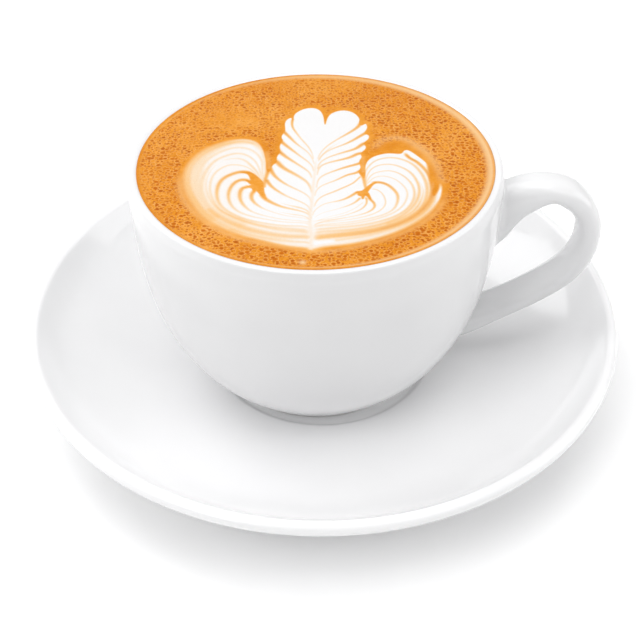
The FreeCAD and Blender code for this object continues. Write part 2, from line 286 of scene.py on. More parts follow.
# strokes: guide points, half-width at each end and the middle (mm), depth at each end and the middle (0..1)
STROKES = [
    # leaves left of the stem, top to bottom: a wide mouth between two tips, then a thread
    ([(-60, 212), (-62, 192), (-61, 170), (-51, 138), (-37, 104), (-20, 68), (-10, 38), (-5, 5)], (0.40, 0.29, 0.24), (0.95, 0.30, 0.20)),
    ([(-52, 154), (-42, 120), (-28, 88), (-17, 62), (-10, 36)], (0.16, 0.23, 0.18), (0.06, 0.17, 0.11)),
    ([(-14, 252), (-34, 240), (-46, 214), (-47, 176), (-43, 150)], (0.20, 0.31, 0.20), (0.05, 0.08, 0.03)),
    ([(-88, 150), (-80, 136), (-70, 119), (-50, 83), (-30, 55), (-15, 28), (-7, 0), (-4, -18)], (0.62, 0.30, 0.22), (1.00, 0.39, 0.20)),
    ([(-95, 104), (-86, 88), (-68, 62), (-44, 28), (-22, -2), (-9, -28), (-6, -52)], (0.66, 0.35, 0.24), (1.00, 0.45, 0.22)),
    ([(-101, 56), (-92, 42), (-78, 22), (-54, -7), (-32, -33), (-17, -55), (-10, -82)], (0.74, 0.43, 0.26), (1.00, 0.50, 0.26)),
    ([(-110, 8), (-99, -5), (-85, -28), (-60, -55), (-38, -78), (-23, -98), (-14, -124), (-10, -148)], (0.80, 0.57, 0.28), (1.00, 0.52, 0.27)),
    ([(-117, -28), (-106, -62), (-86, -94), (-57, -123), (-31, -146), (-17, -166), (-11, -190)], (0.62, 0.39, 0.24), (1.00, 0.39, 0.22)),
    ([(-124, -84), (-112, -112), (-91, -140), (-63, -166), (-32, -189), (-18, -208), (-12, -228)], (0.56, 0.36, 0.24), (0.90, 0.36, 0.23)),
    ([(-90, -186), (-64, -199), (-38, -210), (-22, -222), (-14, -240)], (0.14, 0.39, 0.24), (0.11, 0.36, 0.26)),
    ([(-133, -148), (-126, -166), (-110, -184), (-88, -201), (-60, -214), (-34, -225), (-18, -238), (-12, -256)], (0.70, 0.44, 0.24), (1.00, 0.49, 0.27)),
    ([(-100, -220), (-72, -232), (-46, -239), (-24, -248), (-14, -262)], (0.14, 0.31, 0.20), (0.08, 0.26, 0.20)),
    # leaves right of the stem
    ([(121, 184), (116, 170), (108, 157), (92, 138), (67, 112), (35, 76), (20, 52), (10, 28), (5, 4)], (0.56, 0.34, 0.24), (1.00, 0.39, 0.23)),
    ([(78, 102), (52, 76), (31, 51), (17, 26), (8, 2)], (0.14, 0.29, 0.18), (0.06, 0.21, 0.14)),
    ([(137, 136), (124, 124), (104, 103), (80, 81), (54, 63), (30, 43), (14, 19), (6, -6)], (0.58, 0.36, 0.24), (1.00, 0.41, 0.21)),
    ([(134, 84), (122, 76), (106, 58), (80, 42), (48, 25), (24, 7), (9, -16), (4, -42)], (0.66, 0.39, 0.24), (1.00, 0.44, 0.23)),
    ([(122, 34), (107, 29), (92, 17), (62, 2), (36, -9), (15, -24), (6, -46), (3, -70)], (0.62, 0.42, 0.24), (1.00, 0.47, 0.23)),
    ([(116, -12), (104, -19), (80, -30), (53, -45), (27, -62), (10, -80), (3, -104), (1, -126)], (0.54, 0.36, 0.24), (1.00, 0.41, 0.22)),
    ([(112, -48), (100, -59), (83, -66), (56, -86), (30, -104), (12, -118), (0, -140), (-3, -162)], (0.46, 0.32, 0.24), (1.00, 0.36, 0.21)),
    ([(112, -74), (102, -90), (92, -104), (68, -124), (39, -145), (15, -162), (0, -186), (-5, -208)], (0.26, 0.36, 0.24), (0.57, 0.43, 0.23)),
    ([(106, -142), (98, -148), (77, -168), (50, -183), (24, -192), (6, -207), (-6, -228), (-9, -244)], (0.50, 0.29, 0.20), (1.00, 0.28, 0.20)),
    ([(108, -168), (94, -188), (68, -207), (36, -222), (12, -234), (-5, -252)], (0.40, 0.23, 0.18), (0.65, 0.20, 0.14)),
    ([(114, -188), (92, -214), (60, -236), (26, -250), (2, -264)], (0.18, 0.26, 0.18), (0.26, 0.17, 0.13)),
    ([(70, -252), (38, -262), (10, -270), (-6, -282)], (0.16, 0.31, 0.20), (0.09, 0.23, 0.20)),
    # left wing, outermost first
    ([(-125, -104), (-126, -60), (-128, -16), (-132, 20), (-139, 56), (-148, 74), (-160, 85), (-186, 92), (-220, 87), (-254, 63), (-283, 29), (-300, -14), (-309, -66), (-308, -122), (-296, -172), (-272, -222), (-236, -262)], (0.20, 1.17, 1.62), (0.23, 0.21, 0.14)),
    ([(-127, -118), (-129, -86), (-134, -52), (-137, -4), (-151, 34), (-171, 57), (-200, 66), (-229, 57), (-257, 34), (-280, 0), (-291, -50), (-296, -108), (-286, -166), (-262, -216), (-226, -256)], (0.20, 0.58, 1.46), (0.23, 0.18, 0.13)),
    ([(-129, -124), (-133, -88), (-140, -50), (-151, -8), (-168, 20), (-186, 34), (-206, 37), (-231, 26), (-254, 6), (-271, -28), (-280, -66), (-282, -120), (-270, -172), (-244, -220), (-206, -256), (-160, -284)], (0.20, 0.55, 1.46), (0.23, 0.22, 0.18)),
    ([(-131, -126), (-137, -92), (-148, -50), (-163, -22), (-180, 3), (-197, 13), (-214, 13), (-236, 6)], (0.20, 0.44, 0.26), (0.23, 0.29, 0.08)),
    ([(-250, -10), (-266, -50), (-272, -94), (-267, -138), (-250, -186), (-220, -226), (-178, -258), (-122, -286), (-70, -302), (-20, -310), (-14, -313)], (0.14, 0.50, 0.81), (0.08, 0.20, 0.27)),
    ([(-134, -118), (-142, -84), (-156, -50), (-174, -28), (-197, -17), (-217, -17), (-237, -30), (-254, -57), (-261, -90), (-260, -132), (-250, -172), (-232, -212), (-200, -242), (-158, -268), (-100, -288), (-50, -296), (-14, -302)], (0.20, 0.42, 0.72), (0.23, 0.21, 0.24)),
    ([(-160, -58), (-172, -51), (-191, -50), (-211, -60), (-229, -77), (-240, -103), (-243, -131), (-240, -166), (-226, -203), (-200, -232), (-164, -256), (-120, -272), (-76, -282), (-30, -286), (-14, -292)], (0.62, 0.47, 0.48), (1.00, 0.31, 0.21)),
    ([(-164, -92), (-176, -86), (-186, -86), (-200, -97), (-211, -123), (-214, -151), (-209, -183), (-192, -216), (-160, -240), (-118, -256), (-70, -268), (-24, -274), (-14, -280)], (0.62, 0.36, 0.36), (1.00, 0.24, 0.17)),
    ([(-164, -112), (-172, -118), (-180, -123), (-186, -143), (-184, -171), (-174, -197), (-154, -223), (-120, -242), (-80, -256), (-34, -264), (-14, -270)], (0.62, 0.36, 0.29), (1.00, 0.24, 0.15)),
    ([(-148, -130), (-156, -146), (-157, -166), (-149, -186), (-129, -209), (-104, -226), (-70, -242), (-30, -252), (-14, -258)], (0.60, 0.33, 0.26), (1.00, 0.22, 0.15)),
    # right wing, outermost first
    ([(228, 34), (240, 8), (254, -8), (264, -24), (274, -46), (283, -84), (284, -130), (277, -170), (262, -206), (240, -240), (200, -276), (140, -306), (80, -322), (20, -330), (-11, -336)], (0.55, 0.45, 0.50), (1.00, 0.48, 0.22)),
    ([(120, -112), (121, -82), (126, -48), (139, -20), (156, -1), (186, 10), (215, 4), (245, -22), (262, -58), (271, -98), (272, -140), (262, -188), (244, -226), (210, -262), (160, -292), (100, -310), (30, -320), (-11, -326)], (0.20, 0.59, 0.84), (0.29, 0.48, 0.28)),
    ([(121, -114), (126, -80), (138, -46), (156, -27), (186, -21), (210, -31), (233, -54), (247, -86), (253, -124), (250, -160), (236, -201), (214, -234), (180, -264), (130, -288), (70, -302), (10, -308), (-11, -314)], (0.20, 0.51, 0.67), (0.29, 0.48, 0.27)),
    ([(258, -100), (262, -140), (254, -180), (236, -220), (204, -254), (160, -282)], (0.12, 0.35, 0.50), (0.09, 0.44, 0.19)),
    ([(122, -116), (130, -88), (144, -64), (162, -54), (184, -51), (204, -60), (224, -84), (236, -112), (240, -145), (233, -186), (214, -222), (184, -250), (140, -272), (90, -286), (30, -294), (-11, -300)], (0.20, 0.43, 0.57), (0.29, 0.41, 0.25)),
    ([(124, -116), (134, -96), (148, -80), (168, -75), (192, -86), (209, -107), (221, -136), (221, -166), (211, -198), (190, -228), (156, -252), (110, -270), (50, -282), (4, -286), (-11, -292)], (0.20, 0.37, 0.44), (0.29, 0.28, 0.19)),
    ([(138, -108), (144, -104), (157, -103), (174, -112), (189, -133), (198, -159), (196, -188), (186, -216), (164, -238), (126, -256), (76, -270), (20, -278), (-11, -284)], (0.55, 0.37, 0.37), (1.00, 0.28, 0.15)),
    ([(134, -132), (146, -134), (158, -146), (166, -170), (166, -198), (152, -224), (124, -244), (84, -258), (34, -268), (-11, -274)], (0.20, 0.30, 0.27), (0.39, 0.28, 0.12)),
    ([(128, -166), (131, -176), (138, -190), (140, -206), (128, -226), (100, -242), (62, -254), (20, -262), (-11, -268)], (0.44, 0.26, 0.24), (0.95, 0.28, 0.11)),
    ([(120, -166), (122, -186), (112, -212), (84, -234), (48, -250), (19, -258), (-11, -264)], (0.30, 0.22, 0.20), (0.69, 0.28, 0.09)),
    # broad caramel bands along the bottom
    ([(292, -110), (287, -150), (276, -188), (256, -224), (222, -260), (172, -290), (108, -312), (50, -324), (-10, -333)], (0.60, 1.49, 1.29), (0.85, 0.50, 0.34)),
    ([(-262, -206), (-226, -250), (-180, -284), (-118, -312), (-60, -325), (-20, -329), (-14, -332)], (0.80, 1.38, 1.01), (0.20, 0.45, 0.40)),
    ([(-206, -292), (-150, -320), (-96, -336), (-40, -347), (-18, -351), (-14, -354)], (0.40, 0.66, 0.56), (0.10, 0.25, 0.29)),
    ([(40, -343), (90, -333), (146, -313), (200, -284)], (0.50, 0.61, 0.34), (0.26, 0.23, 0.08)),
    # the threads where the two necks close
    ([(-118, -30), (-122, -62), (-126, -92), (-127, -122)], (0.55, 0.48, 0.40), (1.00, 0.72, 0.60)),
    ([(114, -58), (118, -86), (120, -110), (124, -136)], (0.48, 0.42, 0.47), (1.00, 0.65, 0.67)),
]
# thin pale veils of milk over the crema: guide points, half-width, strength
VEILS = [
    ([(150, 46), (166, 84), (196, 106), (232, 100), (262, 68), (286, 28), (302, -20), (310, -70), (316, -120)], (1.1, 1.35, 1.0), (.12, .25, .12)),
    ([(-128, 50), (-120, 0), (-118, -40)], (.7, .7, .5), (.12, .14, .18)),
    ([(120, 20), (120, -20), (118, -60)], (.6, .6, .5), (.12, .14, .18)),
    ([(-338, -40), (-334, -120), (-312, -190), (-262, -262), (-180, -330), (-90, -362), (0, -384), (110, -360), (220, -302), (296, -214), (320, -140)], (1.0, .8, .8), (.20, .16, .14)),
]
# open pools of crema: the hearts of the two swirls
POOLS = [   # (guide points, half-width at start, middle, end)
    ([(-188, -51), (-168, -56), (-154, -78), (-144, -104), (-138, -128), (-131, -150), (-122, -170)], (.25, 1.55, .25)),
    ([(-172, -90), (-160, -96), (-150, -104)], (.25, .9, 1.1)),
    ([(-170, -118), (-160, -116), (-148, -120)], (.20, .8, 1.0)),
    ([(-152, -140), (-150, -124), (-146, -110)], (.20, .8, 1.0)),
    ([(148, -103), (138, -112), (129, -126), (118, -144), (110, -154)], (.28, .62, .95)),
    ([(98, -146), (110, -146), (122, -152)], (.25, .75, .75)),
    ([(113, -174), (114, -162), (117, -150)], (.20, .5, .8)),
    ([(131, -176), (127, -162), (120, -150)], (.20, .5, .8)),
]
STEM = [(-14, -374), (-13, -340), (-14, -300), (-15, -260), (-13, -220), (-10, -180), (-8, -140), (-6, -100), (-3, -60), (-1, -20), (2, 10), (6, 40)]


def dist_to_curve(P, C):
    """Distance from each point to a polyline, and how far along it (0..1)."""
    a, b = C[:-1], C[1:]
    ab = b - a
    L = (ab ** 2).sum(1)
    best = np.full(len(P), 1e9)
    at = np.zeros(len(P))
    for k in range(len(a)):
        d = P - a[k]
        t = np.clip((d @ ab[k]) / L[k], 0, 1)
        q = d - t[:, None] * ab[k]
        r = (q ** 2).sum(1)
        m = r < best
        best[m] = r[m]
        at[m] = (k + t[m]) / len(a)
    return np.sqrt(best), at


def inside(P, poly):
    x, y = P[:, 0], P[:, 1]
    c = np.zeros(len(P), bool)
    for (x0, y0), (x1, y1) in zip(poly, np.roll(poly, -1, axis=0)):
        if y0 == y1:
            continue
        m = (y0 > y) != (y1 > y)
        c[m] ^= x[m] < (x1 - x0) * (y[m] - y0) / (y1 - y0) + x0
    return c


def signed(P, pts, n, reach):
    """Distance inside (+) or outside (-) a closed smooth outline, worked out within reach of it."""
    C = spline(pts, n, closed=True)
    ins = inside(P, C)
    closed = np.vstack([C, C[:1]])
    out = np.where(ins, reach, -reach)
    lo, hi = C.min(0) - reach, C.max(0) + reach
    m = ((P > lo) & (P < hi)).all(1)
    d, _ = dist_to_curve(P[m], closed)
    out[m] = np.where(ins[m], np.minimum(d, reach), -np.minimum(d, reach))
    return out


def step(x, a, b):
    t = np.clip((x - a) / (b - a), 0, 1)
    return t * t * (3 - 2 * t)


def milk(P):
    """How much milk foam shows at each point of the surface, 0 crema to 1 white. P in mm from the cup's axis."""
    d = signed(P, np.array(MILK_EDGE) * 0.1, 900, 4.0)
    # the foam feathers out at the left and along the bottom, and is crisp elsewhere
    ang = np.degrees(np.arctan2(P[:, 1] + 6.0, P[:, 0] + 1.0))
    left = step(-P[:, 0], 12, 20) * step(-P[:, 1] + 14, 0, 6)
    low = step(-P[:, 1], 16, 26)
    tail = step(P[:, 0], 22, 29) * step(-P[:, 1], 6, 12)
    soft = 0.22 + 0.95 * left * (1 - 0.3 * low) + 0.75 * low * (1 - left) + 0.2 * tail
    m = step(d, -soft * (0.6 + 0.3 * left), soft * (1 - 0.25 * left))
    # a rim of thinned foam just inside the feathered edge
    halo = np.maximum(left, 0.55 * low)
    m = m * (1 - 0.30 * halo * (1 - step(d, 0.9, 2.2)) - 0.12 * left * (1 - step(d, 2.2, 7.5)))
    # and the streak round the right begins faintly
    m = m * (1 - step(P[:, 0], 27.6, 28.6) * (1 - 0.95 * step(-P[:, 1], 9.5, 14.5)))
    for pts, w, k in STROKES:
        C = spline(np.array(pts) * 0.1, 14 * len(pts))
        R = 2.6 * max(w)
        lo, hi = C.min(0) - R, C.max(0) + R
        s = np.where(((P > lo) & (P < hi)).all(1))[0]
        if not len(s):
            continue
        dd, at = dist_to_curve(P[s], C)
        wa = np.where(at < .5, w[0] + (w[1] - w[0]) * at * 2, w[1] + (w[2] - w[1]) * (at * 2 - 1))
        ka = np.where(at < .5, k[0] + (k[1] - k[0]) * at * 2, k[1] + (k[2] - k[1]) * (at * 2 - 1))
        ends = step(np.minimum(at, 1 - at), -0.01, 0.035)
        cov = ka * ends * np.exp(-(dd / wa) ** 2 * 1.1)
        m[s] = m[s] * (1 - cov)
    for pts, w in POOLS:
        C = spline(np.array(pts) * 0.1, 10 * len(pts))
        R = 2.0 * max(w)
        lo, hi = C.min(0) - R, C.max(0) + R
        s = np.where(((P > lo) & (P < hi)).all(1))[0]
        dd, at = dist_to_curve(P[s], C)
        wa = np.where(at < .5, w[0] + (w[1] - w[0]) * at * 2, w[1] + (w[2] - w[1]) * (at * 2 - 1))
        m[s] = m[s] * (1 - step(-dd, -wa - 0.18, -wa + 0.22))
    # the stem: a thin thread of thinned foam drawn through the leaves
    C = spline(np.array(STEM) * 0.1, 120)
    s = np.where((np.abs(P[:, 0]) < 6))[0]
    dd, at = dist_to_curve(P[s], C)
    w = 0.75 - 0.35 * at
    m[s] = np.where(m[s] > 0, np.maximum(m[s], 0) + (0.80 - m[s]) * np.exp(-(dd / w) ** 2) * 0.85 * (1 - step(at, .80, 1.0)) * (m[s] > 0.02), m[s])
    for pts, w, k in VEILS:
        C = spline(np.array(pts) * 0.1, 10 * len(pts))
        R = 2.4 * max(w)
        lo, hi = C.min(0) - R, C.max(0) + R
        s = np.where(((P > lo) & (P < hi)).all(1))[0]
        dd, at = dist_to_curve(P[s], C)
        wa = np.where(at < .5, w[0] + (w[1] - w[0]) * at * 2, w[1] + (w[2] - w[1]) * (at * 2 - 1))
        ka = np.where(at < .5, k[0] + (k[1] - k[0]) * at * 2, k[1] + (k[2] - k[1]) * (at * 2 - 1))
        ends = step(np.minimum(at, 1 - at), -0.01, 0.08)
        m[s] = np.maximum(m[s], 0) + np.maximum(0, 1 - m[s] * 2.5) * ka * ends * np.exp(-(dd / wa) ** 2)
    return np.clip(m, 0, 1)

ART_C, ART_R, RINGS = (-0.3, -5.4), 34.8, 178    # the fine part of the surface, round the pattern
R_WALL = 45.1                                    # where the surface meets the porcelain
R_CUT = 45.38                                     # reaches just into the wall of the bowl


def level_at(P):
    """Height of the surface: flat, riding up a little where it wets the lip."""
    r = np.hypot(P[:, 0], P[:, 1])
    return LEVEL - 0.10 + 0.24 * np.clip((r - 43.2) / 2.0, 0, 1) ** 2


def art_disc():
    """Concentric rings of 6, 12, 18 ... points, so that the triangles are all nearly equal."""
    pts = [(0.0, 0.0)]
    for k in range(1, RINGS + 1):
        a = 2 * np.pi * np.arange(6 * k) / (6 * k)
        r = ART_R * k / RINGS
        pts += list(zip(r * np.cos(a), r * np.sin(a)))
    pts = np.array(pts) + ART_C
    tris = []
    start = lambda k: 0 if k == 0 else 1 + 3 * k * (k - 1)
    for k in range(1, RINGS + 1):
        so, si, no, ni = start(k), start(k - 1), 6 * k, max(1, 6 * (k - 1))
        for side in range(6):
            i = np.arange(k)
            o = so + (side * k + i) % no
            o1 = so + (side * k + i + 1) % no
            n0 = si + ((side * (k - 1) + i) % ni if k > 1 else 0 * i)
            tris.append(np.stack([o, o1, n0], -1))
            if k > 1:
                i = np.arange(k - 1)
                o1 = so + (side * k + i + 1) % no
                n0 = si + (side * (k - 1) + i) % ni
                n1 = si + (side * (k - 1) + i + 1) % ni
                tris.append(np.stack([o1, n1, n0], -1))
    return pts, np.vstack(tris)


def crema_fields(P):
    """Across the crema: how pitted it is, how coarse the pits are, how its tone drifts, and the painted light
    and shade where it meets the wall, a lighter band inside it on the right and a darker line against it on the left
    (all 0..1, the drift -1..1)."""
    d = signed(P, np.array(MILK_EDGE) * 0.1, 240, 12.0)
    out = np.maximum(-d, 0)
    x, y = P.T
    r = np.hypot(x, y)
    a = np.arctan2(y, x)
    blob = lambda cx, cy, sx, sy: np.exp(-(((x - cx) / sx) ** 2 + ((y - cy) / sy) ** 2))
    calm = np.clip(blob(-21, 20, 9, 5) + 0.5 * blob(0, 40, 30, 3), 0, 1)
    fold = 1 - step(np.hypot((x - 21.5) / 9.3, (y + 4) / 13.8), 0.84, 1.04)      # swept smooth over the right wing
    # painted light on the meniscus: a lighter band inside the wall, wider on the right, where the crema also has fewer
    # pits
    wall_light_shade_w = 1.9 + 0.9 * np.cos(a) + 0.6 * np.sin(a)
    film = step(r, R_WALL - wall_light_shade_w, R_WALL - 0.25 * wall_light_shade_w)
    pits = step(out, 0.6, 2.4) * (1 - 0.6 * calm) * (1 - fold) * (1 - 0.85 * film)
    coarse = np.clip(0.45 + 0.40 * np.cos(a + 0.35) * step(r, 15, 38) + 0.35 * step(-y, 24, 36)
                     - 0.5 * calm - 0.25 * step(y, 20, 34), 0, 1)
    drift = (0.45 * np.sin(x * 0.21 + 1.3) * np.cos(y * 0.17 - 0.4) + 0.4 * np.sin(x * 0.083 - y * 0.117)
             - 0.45 * step(y, 14, 40) + 0.6 * calm - 0.5 * fold + 0.5 * np.exp(-(out / 1.6) ** 2))
    # the band is stronger on the right; the darker line right at the wall is painted shade where the drink meets the
    # porcelain
    film = film * (0.55 + 0.35 * np.cos(a) + 0.06 * np.sin(a)) - 0.55 * step(r, R_WALL - 0.55, R_WALL - 0.15)
    # and a small pale spot at the front wall
    film = film + 0.9 * np.exp(-((x + 3.2) ** 2 + (y + 42.4) ** 2) / 0.55)
    return pits, coarse, np.clip(drift, -1, 1), film


def paint(ob, P, m=None):
    """Carries the fields on the points of a surface."""
    n = len(P)
    m = milk(P) if m is None else m
    pits, coarse, drift, film = crema_fields(P)
    for name, val in (("milk", m), ("pits", pits * (m < 0.3)), ("coarse", coarse), ("drift", drift), ("film", film)):
        at = ob.data.attributes.new(name, "FLOAT", "POINT")
        full = np.zeros(len(ob.data.vertices), np.float32)
        full[:n] = val
        at.data.foreach_set("value", full)


def bake_map(ob, span):
    """A plan-view layout, so that the fine pattern keeps its detail when the colours are baked."""
    me = ob.data
    uv = me.uv_layers.new(name="OFBake")
    co = np.zeros(len(me.vertices) * 3, np.float32)
    me.vertices.foreach_get("co", co)
    co = co.reshape(-1, 3) / MM
    li = np.zeros(len(me.loops), np.int32)
    me.loops.foreach_get("vertex_index", li)
    c, h = span
    u = (co[li, :2] - np.array(c)) / (2 * h) + 0.5
    uv.data.foreach_set("uv", u.astype(np.float32).ravel())


disc, tris = art_disc()
z = level_at(disc)
face = new_object("latte_leaf", np.c_[disc[:, 0] + CUP_X, disc[:, 1], z], [tris])
paint(face, disc)
bake_map(face, ((ART_C[0] + CUP_X, ART_C[1]), ART_R * 1.01))

# the rest of the drink: surface out to the wall, then the filling under it
NR = 6 * RINGS
ang = 2 * np.pi * np.arange(NR) / NR
edge = np.c_[ART_C[0] + ART_R * np.cos(ang), ART_C[1] + ART_R * np.sin(ang)]
# where each spoke of the fine disc reaches the wall
ex, ey = np.cos(ang), np.sin(ang)
bq = ART_C[0] * ex + ART_C[1] * ey
tq = -bq + np.sqrt(bq ** 2 - (ART_C[0] ** 2 + ART_C[1] ** 2) + R_CUT ** 2)
rim = np.c_[ART_C[0] + tq * ex, ART_C[1] + tq * ey]
NS = 42
k = np.linspace(0, 1, NS + 1)[:, None, None]
ringpts = (edge[None] * (1 - k) + rim[None] * k).reshape(-1, 2)
v3 = [np.c_[ringpts[:, 0] + CUP_X, ringpts[:, 1], level_at(ringpts)]]
down = spline([(R_CUT, LEVEL + 0.06), (45.0, 69.2), (44.85, 67.5), (44.75, 58.0), (43.6, 45.0), (41.2, 34.5), (37.6, 26.5), (33.4, 20.0), (28.6, 15.2), (20.0, 12.2), (0.6, 11.0)], 26)[1:]
th = np.arctan2(rim[:, 1], rim[:, 0])
for r, zz in down:
    v3.append(np.c_[CUP_X + r * np.cos(th), r * np.sin(th), np.full(NR, zz)])
v3 = np.vstack(v3)
rows = NS + 1 + len(down)
i = np.arange(rows - 1)[:, None] * NR
j = np.arange(NR)[None, :]
j2 = (j + 1) % NR
quads = np.stack([i + j, i + NR + j, i + NR + j2, i + j2], -1).reshape(-1, 4)
c0 = len(v3)
v3 = np.vstack([v3, [[CUP_X, 0, 10.99]]])
jj = np.arange(NR)
cap = np.stack([np.full(NR, c0), (rows - 1) * NR + (jj + 1) % NR, (rows - 1) * NR + jj], -1)
rest = new_object("latte_body", v3, [quads, cap])
paint(rest, ringpts)


# ---------------------------------------------------------------- materials --
def nodes_of(mat):
    mat.use_nodes = True
    nt = mat.node_tree
    nt.nodes.clear()
    out = nt.nodes.new("ShaderNodeOutputMaterial")
    b = nt.nodes.new("ShaderNodeBsdfPrincipled")
    nt.links.new(b.outputs[0], out.inputs[0])
    return nt, b


def N(nt, kind, **kw):
    n = nt.nodes.new(kind)
    for k, v in kw.items():
        setattr(n, k, v)
    return n


def math_node(nt, op, a, b=None, clamp=False):
    n = N(nt, "ShaderNodeMath", operation=op, use_clamp=clamp)
    for i, x in enumerate((a, b)):
        if x is None:
            continue
        if isinstance(x, (int, float)):
            n.inputs[i].default_value = x
        else:
            nt.links.new(x, n.inputs[i])
    return n.outputs[0]


def ramp(nt, fac, stops, interp="LINEAR"):
    r = N(nt, "ShaderNodeValToRGB")
    r.color_ramp.interpolation = interp
    el = r.color_ramp.elements
    while len(el) < len(stops):
        el.new(0.5)
    for e, (p, c) in zip(el, stops):
        e.position = p
        e.color = c if len(c) == 4 else (*c, 1)
    nt.links.new(fac, r.inputs[0])
    return r.outputs[0]


def mix(nt, fac, a, b, kind="MIX"):
    n = N(nt, "ShaderNodeMix", data_type="RGBA", blend_type=kind)
    for sock, x in ((n.inputs[0], fac), (n.inputs[6], a), (n.inputs[7], b)):
        if isinstance(x, (int, float)):
            sock.default_value = x
        elif isinstance(x, tuple):
            sock.default_value = x if len(x) == 4 else (*x, 1)
        else:
            nt.links.new(x, sock)
    return n.outputs[2]


def glaze(name, foot_z, low, high):
    """White glazed porcelain; bare biscuit on the ring it stands on."""
    mat = bpy.data.materials.new(name)
    nt, b = nodes_of(mat)
    co = N(nt, "ShaderNodeTexCoord").outputs["Object"]
    big = N(nt, "ShaderNodeTexNoise"); big.inputs["Scale"].default_value = 38.0; big.inputs["Detail"].default_value = 2.0
    fine = N(nt, "ShaderNodeTexNoise"); fine.inputs["Scale"].default_value = 420.0; fine.inputs["Detail"].default_value = 2.0
    nt.links.new(co, big.inputs["Vector"]); nt.links.new(co, fine.inputs["Vector"])
    white = ramp(nt, big.outputs[0], [(0.3, low), (0.7, high)])
    sep = N(nt, "ShaderNodeSeparateXYZ"); nt.links.new(co, sep.inputs[0])
    z = sep.outputs[2]
    bare = math_node(nt, "LESS_THAN", z, foot_z)
    grain = N(nt, "ShaderNodeTexNoise"); grain.inputs["Scale"].default_value = 2600.0
    nt.links.new(co, grain.inputs["Vector"])
    biscuit = ramp(nt, grain.outputs[0], [(0.35, (0.60, 0.58, 0.55)), (0.7, (0.72, 0.70, 0.67))])
    nt.links.new(mix(nt, bare, white, biscuit), b.inputs["Base Color"])
    rough = math_node(nt, "MULTIPLY_ADD", fine.outputs[0], 0.03); rough.node.inputs[2].default_value = 0.085
    r2 = N(nt, "ShaderNodeMix"); nt.links.new(bare, r2.inputs[0]); nt.links.new(rough, r2.inputs[2]); r2.inputs[3].default_value = 0.75
    nt.links.new(r2.outputs[0], b.inputs["Roughness"])
    b.inputs["IOR"].default_value = 1.5
    bump = N(nt, "ShaderNodeBump"); bump.inputs["Strength"].default_value = 0.08; bump.inputs["Distance"].default_value = 0.0004
    h = math_node(nt, "ADD", big.outputs[0], math_node(nt, "MULTIPLY", fine.outputs[0], 0.004))
    nt.links.new(h, bump.inputs["Height"])
    nt.links.new(bump.outputs[0], b.inputs["Normal"])
    return mat


